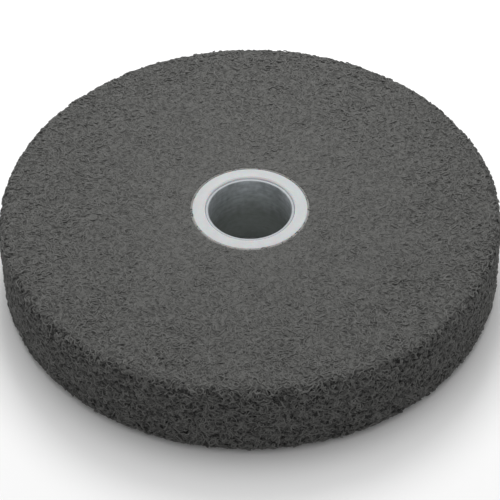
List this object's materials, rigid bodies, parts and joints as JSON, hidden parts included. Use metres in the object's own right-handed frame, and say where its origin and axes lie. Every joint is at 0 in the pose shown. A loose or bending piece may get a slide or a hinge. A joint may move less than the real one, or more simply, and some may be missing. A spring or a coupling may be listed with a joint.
{
  "type": "felt polishing wheel",
  "caption": "Straight felt polishing wheel: pressed nylon-fibre plies bonded to a light bush with a steel-lined bore, for a lapidary bench machine.",
  "frame": {"origin": "on the bore axis, midway between the two faces", "axes": "+Z along the bore axis out of the front face; X and Y across the wheel, which is the same all round"},
  "size_m": [0.1524, 0.1524, 0.0254],
  "materials": {
    "felt_web": "matt, dense curled nylon fibre with open voids",
    "bush_nylon": "moulded, fine matt skin",
    "sleeve_steel": "drawn tube, fine lines along the bore, oiled",
    "cured_adhesive": "smooth cured epoxy"
  },
  "bodies": {
    "root": {"web_ply_1": "felt_web", "web_ply_2": "felt_web", "web_ply_3": "felt_web", "web_ply_4": "felt_web", "web_ply_5": "felt_web", "web_ply_6": "felt_web", "web_ply_7": "felt_web", "web_ply_8": "felt_web", "hub_bush": "bush_nylon", "bore_sleeve": "sleeve_steel", "bush_adhesive": "cured_adhesive"}
  },
  "joints": []
}
